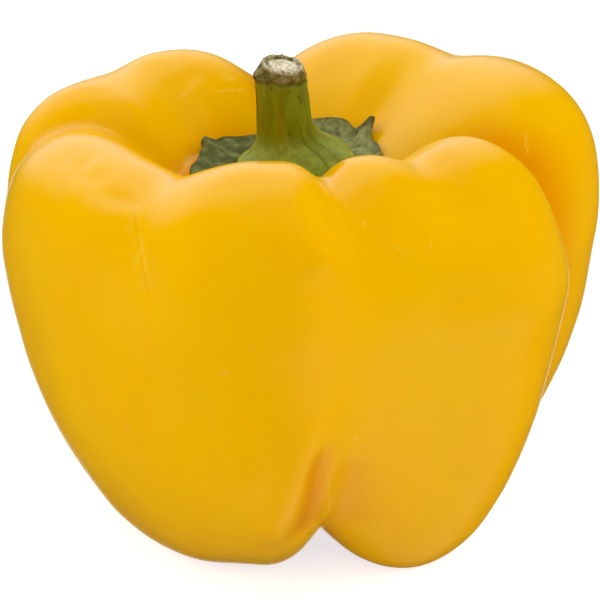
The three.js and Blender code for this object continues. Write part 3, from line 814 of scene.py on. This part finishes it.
def makeStalk():
    segments = stalk["segments"]
    angles = np.arange(segments) * 360 / segments
    sections, cutRings, noise = stalk["sections"], stalk["cut"], stalk["ripples"]
    steps = np.linspace(0, len(sections) - 1, stalk["bodySteps"] + 1)
    body = {key: smoothCurve([section[key] for section in sections], steps)
            for key in ("height", "x", "y", "radius")}
    cutLevels = np.linspace(0, len(cutRings) - 1, stalk["cutSteps"] + 1)
    cut = {key: smoothCurve([ring[key] for ring in cutRings], cutLevels) for key in ("height", "radius")}
    cut["radius"][-1] = 0
    under = np.array([0, 2.0, 4.0, 6.0, 7.6, 8.6, 9.2])
    foot, top = sections[0], sections[-1]
    # rings from the underside's middle, out, up the stalk and in over the cut
    x, y = [np.concatenate([np.full(len(under) + 1, foot[key]), body[key], np.full(len(cutLevels), top[key])])
            for key in ("x", "y")]
    x[-len(cutLevels):] += stalk["cutShift"] * smoothStep(cut["radius"], 4.1, 3.2)
    radius = np.concatenate([under, [stalk["footRadius"]], body["radius"], cut["radius"]])
    height = np.concatenate([np.zeros(len(under)), [0.25], body["height"], cut["height"]])
    order = np.arange(len(radius))
    onSide = ((order > len(under)) & (order <= len(under) + len(steps)))[:, None]
    onUnder = (order <= len(under))[:, None]
    onCut = ~onSide & ~onUnder
    rib = stalk["ribDepth"] * np.cos(np.radians(stalk["ribs"] * (angles - stalk["ribAngle"])))
    swing = np.radians(angles)[None, :] + 0.012 * (height[:, None] - 66)
    fibre = sum(f["depth"] * np.cos(f["count"] * swing + f["count"]) for f in stalk["fibres"])
    ringRadius = radius[:, None] * (1 + ~onCut * rib[None, :]) + fibre * onSide
    points = polar(x[:, None], y[:, None], ringRadius, angles[None, :] + 0 * ringRadius, height[:, None])
    fall = smoothStep(height, stalk["fallStart"], top["height"])[:, None]
    dx, dy = points[..., 0] - x[:, None], points[..., 1] - y[:, None]
    slope = stalk["fallRight"] * dx - stalk["fallFront"] * dy
    floor = cupHeight(points[..., 0], points[..., 1]) + cap["lift"] + cap["thickness"] + stalk["footGap"]
    points[..., 2] = np.where(onUnder, floor + height[:, None], points[..., 2] - fall * slope)
    points[0] = points[0].mean(axis=0)

    # the dry collar begins at an almost level line round the stalk, whatever the slope of the cut
    collar = stalk["collar"]
    border = collar["height"] - collar["fallRight"] * dx - collar["riseFront"] * dy
    above = points[..., 2] - border - uneven(points, noise["border"])
    crest = len(radius) - len(cutLevels) + int(np.argmax(cut["height"]))
    outside = (order <= crest)[:, None]
    strip = np.cos(np.radians(angles - stalk["greenStrip"]["angle"]))[None, :] + uneven(points, noise["strip"])
    strip = smoothStep(strip, math.cos(math.radians(stalk["greenStrip"]["reach"])), 1)
    strip = smoothStep(strip, 0.05, 0.4) * outside
    darkRing = np.exp(-(above / collar["ring"]) ** 2) * outside * (1 - 0.75 * strip)
    fading = noise["ring"]["depth"]
    darkRing = darkRing * (1 - fading + np.clip(uneven(points, noise["ring"]), -fading, fading))
    cork = np.where(outside, smoothStep(above, 0.0, 0.3) * (1 - 0.85 * strip), 1)
    fromRim = np.abs(radius - stalk["rimRadius"])[:, None]
    rim = np.exp(-(fromRim / 0.33) ** 2) * (order > crest - 12)[:, None] + 0 * ringRadius
    wide = radius[:, None] + uneven(points, noise["pith"])
    pith = (1 - smoothStep(wide, stalk["pithRadius"] - 0.2, stalk["pithRadius"] + 0.1)) * ~outside
    groove = np.exp(-((wide - stalk["pithRadius"] - 0.1) / 0.2) ** 2) * ~outside

    lumps = uneven(points, noise["coarse"]) + uneven(points, noise["fine"])
    bend = uneven(points, noise["bend"])
    outward = skinNormals(points)
    push = np.where(outside, cork, 0.55) * lumps + collar["swell"] * cork * outside
    push = push - 0.12 * darkRing - 0.12 * groove
    dark = 0 * ringRadius
    spotty = 1 + uneven(points, noise["blemish"])
    for blemish in stalk["blemishes"]:
        across = np.radians(turn(blemish["angle"], angles))[None, :] * radius[:, None]
        up = points[..., 2] - blemish["height"]
        spot = np.exp(-(across / blemish["across"]) ** 2 - (up / blemish["up"]) ** 2) * outside
        push += blemish["rise"] * spot
        dark = np.maximum(dark, blemish["dark"] * smoothStep(spot * spotty, 0.2, 0.7))
    low = (1 - smoothStep(height, 64.0, 69.0))[:, None]
    foldShade = 0 * ringRadius
    sway = uneven(points, noise["crease"])
    for crease in stalk["creases"]:
        fold = np.exp(-((turn(crease["angle"], angles)[None, :] + sway) / crease["width"]) ** 2) * low
        push -= crease["depth"] * fold
        foldShade = np.maximum(foldShade, fold * crease["depth"] / 0.2)
    centreFade = smoothStep(radius, 0.2, 1.0)[:, None]
    points = points + outward * np.where(onUnder, 0, (push + bend) * centreFade)[..., None]
    points[-1] = points[-1].mean(axis=0)
    everywhere = np.ones_like(ringRadius)
    # crease holds the painted shade along the foot's creases
    masks = {"darkRing": darkRing, "cork": cork, "rimCrest": rim, "pith": pith, "groove": groove,
             "blemish": dark, "crease": foldShade,
             "rightSide": (0.5 + 0.5 * np.cos(np.radians(angles - 350))) * everywhere,
             "middle": np.exp(-(turn(250, angles) / 38) ** 2) * everywhere,
             "upper": smoothStep(height, 61.0, 66.5)[:, None] * everywhere}
    return ringPiece("pepperStalk", points, masks, "stem", stalkMaterial())


def stalkMaterial():
    look = stalk["colours"]
    material, tree, shader = newMaterial("pepper stalk", {
        "Roughness": 0.5, "IOR": 1.42, "Subsurface Weight": 0.08, "Subsurface Scale": 0.001})
    stripes = twoTones(tree, look["green"], look["olive"], 420.0, 0.12, stretch=(1, 1, 0.1))
    footTone = twoTones(tree, look["foot"], look["green"], 380.0, 0.2, amount=0.5, stretch=(1, 1, 0.5))
    green = tint(tree, stripes["Color"], look, [("rightSide", "fresh", 0.6), ("middle", "ochre", 0.4)])
    # painted shade: the creases at the foot are darkened towards moss green
    green = tint(tree, blend(tree, maskOf(tree, "upper"), footTone["Color"], green), look, [
        (patches(tree, 700.0, 0.05, (1, 1, 0.25)), "dark", 0.25), ("crease", "mossAndShade", 0.6),
        (speckled(tree, 700.0, 0.2, 0.12), "dark", 0.7)])
    # the collar's bark with its pale rim, and the cut pith inside it
    crust = twoTones(tree, look["tan"], look["crust"], 900.0, 0.12, amount=0.9)
    bark = tint(tree, crust["Color"], look, [(speckled(tree, 1300.0, 0.35, 0.35), "brown", 0.8)])
    rim = times(tree, maskOf(tree, "rimCrest"), patches(tree, 1500.0, 0.2))
    colour = tint(tree, blend(tree, maskOf(tree, "cork"), green, bark), look, [(rim, "pale", 0.75)])
    flesh = twoTones(tree, look["pale"], look["tan"], 1300.0, 0.12, amount=0.6)
    gaps = times(tree, maskOf(tree, "groove"), patches(tree, 900.0, 0.1))
    colour = tint(tree, blend(tree, maskOf(tree, "pith"), colour, flesh["Color"]), look, [
        (gaps, "mossAndShade", 0.95), ("darkRing", "brown", 1.0), ("blemish", "brown", 0.85)])
    fibres = placeGroup(tree, grain, {"Coarse per metre": 900.0, "Fine per metre": 2600.0,
                                      "Stretch": (1, 1, 0.12), "Fine share": 0.4})
    finishSurface(tree, shader, colour, stripes["Patches"], (0.42, 0.6), fibres["Height"], 0.5, 0.0003)
    return material


makeStalk()


# Studio: a pale floor, soft light from above and behind, and the photograph's view

studio = {
    "target": (-0.0003, 0.0008, 0.0366),
    "elevation": 22.5,
    "distance": 0.56,
    "lens": 210.0,
    "sensor": 36.0,
    "floorGlow": 0.56,
    "floorLift": 0.07,
    "mirrored": [
        {"toward": (-0.25, 0.72, 0.64), "edge": 0.62, "full": 0.94, "strength": 1.36},
        {"toward": (0, 0.92, -0.38), "edge": 0.93, "full": 0.995, "strength": 0.9},
        {"toward": (0, 0, 1), "edge": 0.76, "full": 0.95, "strength": 0.4},
        {"toward": (0.42, -0.29, -0.82), "edge": 0.72, "full": 0.97, "strength": 0.42},
        {"toward": (0, 0, -1), "edge": 0.6, "full": 0.95, "strength": 0.08},
    ],
    "mirroredLow": 0.13,
    "mirroredHigh": 0.7,
    "lowTone": (1, 0.86, 0.35, 1),
    "highTone": (1, 0.97, 0.9, 1),
    "softboxes": [
        {"name": "topSoftbox", "place": (-0.1, 0.0, 1.0), "size": 1.2, "power": 4.6},
        {"name": "frontSoftbox", "place": (0.15, -1.5, 0.5), "size": 1.6, "power": 9.6},
        {"name": "leftSoftbox", "place": (-1.45, 0.35, 0.35), "size": 1.6, "power": 16.5},
        {"name": "rightSoftbox", "place": (1.45, 0.35, 0.35), "size": 1.6, "power": 18.0},
        {"name": "backSoftbox", "place": (0.1, 1.4, 0.6), "size": 1.4, "power": 5.0},
    ],
    "softLow": 0.36,
    "softHigh": 0.42,
    "softTone": (1, 0.95, 0.6, 1),
    "paper": (0.84, 0.835, 0.79, 1),
    "paperGlow": (1, 1.04, 1.14, 1),
    "floorHalf": 2.0,
}


def makeFloor():
    half = studio["floorHalf"]
    mesh = bpy.data.meshes.new("studioFloor")
    mesh.from_pydata([(-half, -half, 0), (half, -half, 0), (half, half, 0), (-half, half, 0)], [], [(0, 1, 2, 3)])
    material, tree, shader = newMaterial("studio floor", {
        "Base Color": studio["paper"], "Roughness": 0.9, "Specular IOR Level": 0.1,
        "Emission Color": studio["paperGlow"]})
    # the paper glows a little for the camera, so that the shadow on it stays light, and less for the fruit's feet
    rays = addNode(tree, "ShaderNodeLightPath").outputs
    glow = addNode(tree, "ShaderNodeMath", {
        0: rays["Is Camera Ray"], 1: studio["floorGlow"], 2: studio["floorLift"]}, operation="MULTIPLY_ADD")
    tree.links.new(glow.outputs[0], shader.inputs["Emission Strength"])
    mesh.materials.append(material)
    floor = bpy.data.objects.new("studioFloor", mesh)
    bpy.context.collection.objects.link(floor)
    floor.visible_glossy = False


def makeWorld():
    world = bpy.data.worlds.new("studio")
    bpy.context.scene.world = world
    world.use_nodes = True
    world.cycles.sampling_method = "NONE"  # so that each kind of ray finds its own light
    tree = world.node_tree
    backdrop = tree.nodes["Background"]
    way = addNode(tree, "ShaderNodeTexCoord").outputs["Generated"]
    # what mirrors in the skin: soft glows, each brightest in one direction, and dimness between
    mirrored = studio["mirroredLow"]
    for glow in studio["mirrored"]:
        near = addNode(tree, "ShaderNodeVectorMath", {0: way, 1: Vector(glow["toward"]).normalized()},
                       operation="DOT_PRODUCT").outputs["Value"]
        part = ramp(tree, near, glow["edge"], glow["full"], 0.0, glow["strength"])
        mirrored = work(tree, "ADD", part, mirrored)
    upward = addNode(tree, "ShaderNodeSeparateXYZ", {0: way}).outputs["Z"]
    soft = ramp(tree, upward, -1.0, 1.0, studio["softLow"], studio["softHigh"], "LINEAR")
    rays = addNode(tree, "ShaderNodeLightPath").outputs
    strength = blend(tree, rays["Is Glossy Ray"], soft, mirrored, "FLOAT")
    # the dim part of what mirrors is warm, as if the fruit's own light came back to it
    bright = ramp(tree, mirrored, studio["mirroredLow"], studio["mirroredHigh"], curve="LINEAR")
    tone = blend(tree, bright, studio["lowTone"], studio["highTone"])
    tone = blend(tree, rays["Is Diffuse Ray"], tone, studio["softTone"])
    # the camera sees plain white
    strength = blend(tree, rays["Is Camera Ray"], strength, 1.0, "FLOAT")
    tone = blend(tree, rays["Is Camera Ray"], tone, (1, 1, 1, 1))
    tree.links.new(strength, backdrop.inputs["Strength"])
    tree.links.new(tone, backdrop.inputs["Color"])


def addSoftbox(name, place, size, power):
    light = bpy.data.lights.new(name, "AREA")
    light.shape = "RECTANGLE"
    light.size, light.size_y = size, size
    light.energy = power
    light.cycles.use_multiple_importance_sampling = False  # so that the lamp isn't mirrored in the skin
    lamp = bpy.data.objects.new(name, light)
    bpy.context.collection.objects.link(lamp)
    lamp.location = place
    lamp.rotation_euler = (Vector(studio["target"]) - Vector(place)).to_track_quat("-Z", "Y").to_euler()
    lamp.visible_glossy = False


def makeCamera():
    camera = bpy.data.cameras.new("photoView")
    camera.sensor_width = studio["sensor"]
    camera.lens = studio["lens"]
    camera.clip_start = 0.01
    view = bpy.data.objects.new("photoView", camera)
    bpy.context.collection.objects.link(view)
    tilt = math.radians(studio["elevation"])
    target = Vector(studio["target"])
    view.location = target + studio["distance"] * Vector((0, -math.cos(tilt), math.sin(tilt)))
    view.rotation_euler = (math.pi / 2 - tilt, 0, 0)
    bpy.context.scene.camera = view


makeFloor()
makeWorld()
for softbox in studio["softboxes"]:
    addSoftbox(**softbox)
makeCamera()
viewing = bpy.context.scene.view_settings
viewing.view_transform = "Standard"
viewing.use_curve_mapping = True
viewing.curve_mapping.black_level = (0, 0, 0.006)  # the picture's strong yellow
print("studio made")
